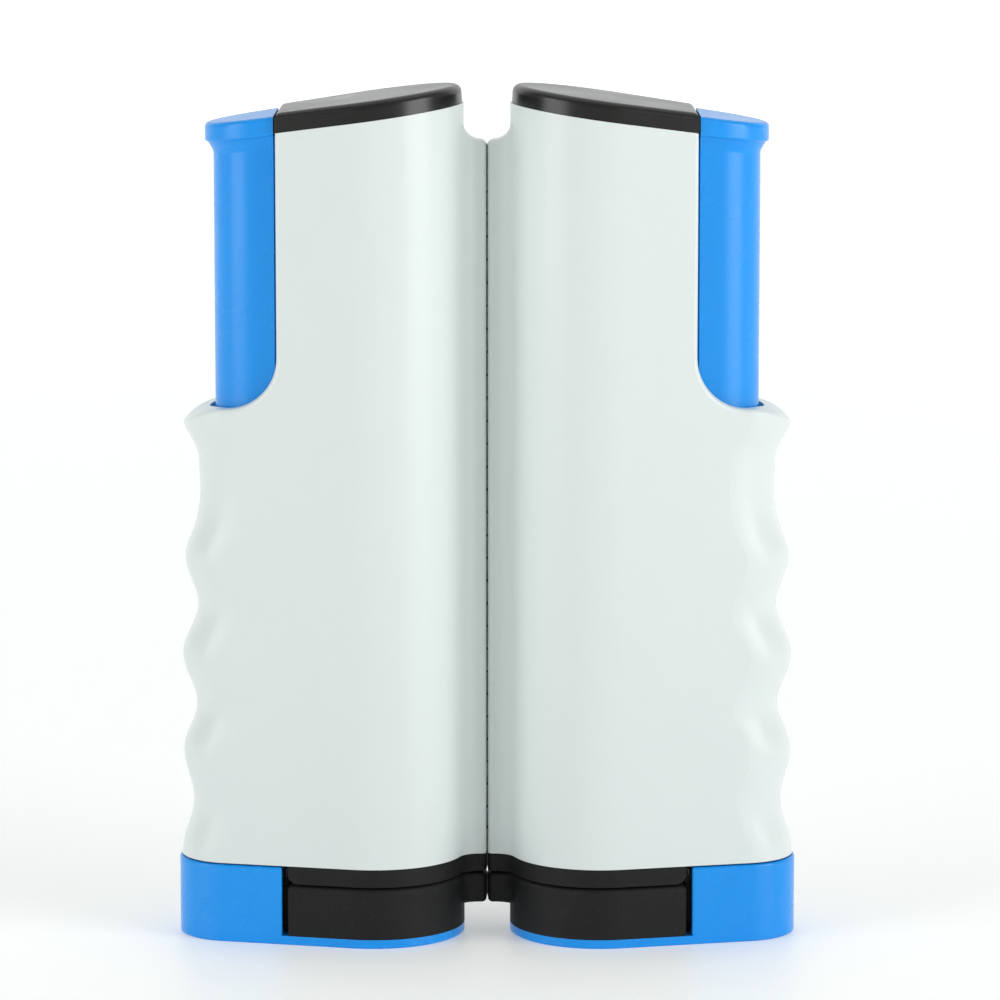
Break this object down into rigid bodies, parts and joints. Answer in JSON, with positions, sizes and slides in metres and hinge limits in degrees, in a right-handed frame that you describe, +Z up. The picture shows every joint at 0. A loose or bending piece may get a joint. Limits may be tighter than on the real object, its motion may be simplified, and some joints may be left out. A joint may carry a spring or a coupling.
{
  "type": "table tennis net clamp",
  "caption": "Pair of sprung clamp posts for a roll-up table tennis net: pressing a post's blue head opens its jaw, and pulling the posts apart unrolls the net.",
  "frame": {"origin": "on the floor, midway between the two posts, at the middle of their depth", "axes": "+X along the net towards the right-hand post, -Y to the front, +Z up"},
  "size_m": [0.135, 0.039, 0.186],
  "materials": {
    "grey_housing": "pale grey moulded plastic with a satin gloss",
    "black_cap": "black moulded plastic with a soft sheen",
    "black_rubber": "matt black moulded rubber",
    "blue_plastic": "bright blue moulded plastic with a satin gloss",
    "steel_screw": "zinc-plated steel",
    "bright_steel": "drawn steel rod",
    "spring_steel": "oiled spring wire",
    "dark_nylon": "dark moulded nylon",
    "net_fabric": "black knotted nylon mesh",
    "net_tape": "white woven edge tape"
  },
  "bodies": {
    "left_post": {"left_front_shell": "grey_housing", "left_back_shell": "grey_housing", "left_housing_screws": "steel_screw", "left_top_cap": "black_cap", "left_upper_pad": "black_rubber", "left_spring_seat": "dark_nylon", "left_guide_rod": "bright_steel", "left_clamp_spring": "spring_steel", "left_roller_axle": "bright_steel", "left_roller_spring": "spring_steel", "net_mesh": "net_fabric", "net_tape": "net_tape"},
    "right_post": {"right_front_shell": "grey_housing", "right_back_shell": "grey_housing", "right_housing_screws": "steel_screw", "right_top_cap": "black_cap", "right_upper_pad": "black_rubber", "right_spring_seat": "dark_nylon", "right_guide_rod": "bright_steel", "right_clamp_spring": "spring_steel", "right_roller_axle": "bright_steel", "right_roller_spring": "spring_steel"},
    "left_clamp_slide": {"left_press_column": "blue_plastic", "left_lower_jaw": "blue_plastic", "left_lower_pad": "black_rubber", "left_jaw_screws": "steel_screw"},
    "right_clamp_slide": {"right_press_column": "blue_plastic", "right_lower_jaw": "blue_plastic", "right_lower_pad": "black_rubber", "right_jaw_screws": "steel_screw"},
    "left_roller": {"left_roller_core": "dark_nylon", "left_roller_lower_plug": "dark_nylon", "left_roller_upper_plug": "dark_nylon", "left_net_roll": "net_fabric"},
    "right_roller": {"right_roller_core": "dark_nylon", "right_roller_lower_plug": "dark_nylon", "right_roller_upper_plug": "dark_nylon", "right_net_roll": "net_fabric"}
  },
  "joints": [
    {"name": "net_pull", "type": "slide", "parent": "left_post", "child": "right_post", "axis": [1, 0, 0], "range_m": [0, 1.7], "stiffness_N_per_m": 1.5, "springref_m": -1, "deforming": ["net_mesh", "net_tape"]},
    {"name": "left_clamp", "type": "slide", "parent": "left_post", "child": "left_clamp_slide", "axis": [0, 0, -1], "range_m": [0, 0.048], "stiffness_N_per_m": 300, "springref_m": -0.01, "deforming": ["left_clamp_spring"]},
    {"name": "right_clamp", "type": "slide", "parent": "right_post", "child": "right_clamp_slide", "axis": [0, 0, -1], "range_m": [0, 0.048], "stiffness_N_per_m": 300, "springref_m": -0.01, "deforming": ["right_clamp_spring"]},
    {"name": "left_roller_turn", "type": "hinge", "parent": "left_post", "child": "left_roller", "pos_m": [-0.0245, 0, 0], "axis": [0, 0, 1], "range_deg": [-6, 4900]},
    {"name": "right_roller_turn", "type": "hinge", "parent": "right_post", "child": "right_roller", "pos_m": [0.0245, 0, 0], "axis": [0, 0, -1], "range_deg": [-6, 4900]}
  ],
  "couplings": [
    {"joint": "left_roller_turn", "follows": "net_pull", "rad_per_m": 50},
    {"joint": "right_roller_turn", "follows": "net_pull", "rad_per_m": 50}
  ]
}
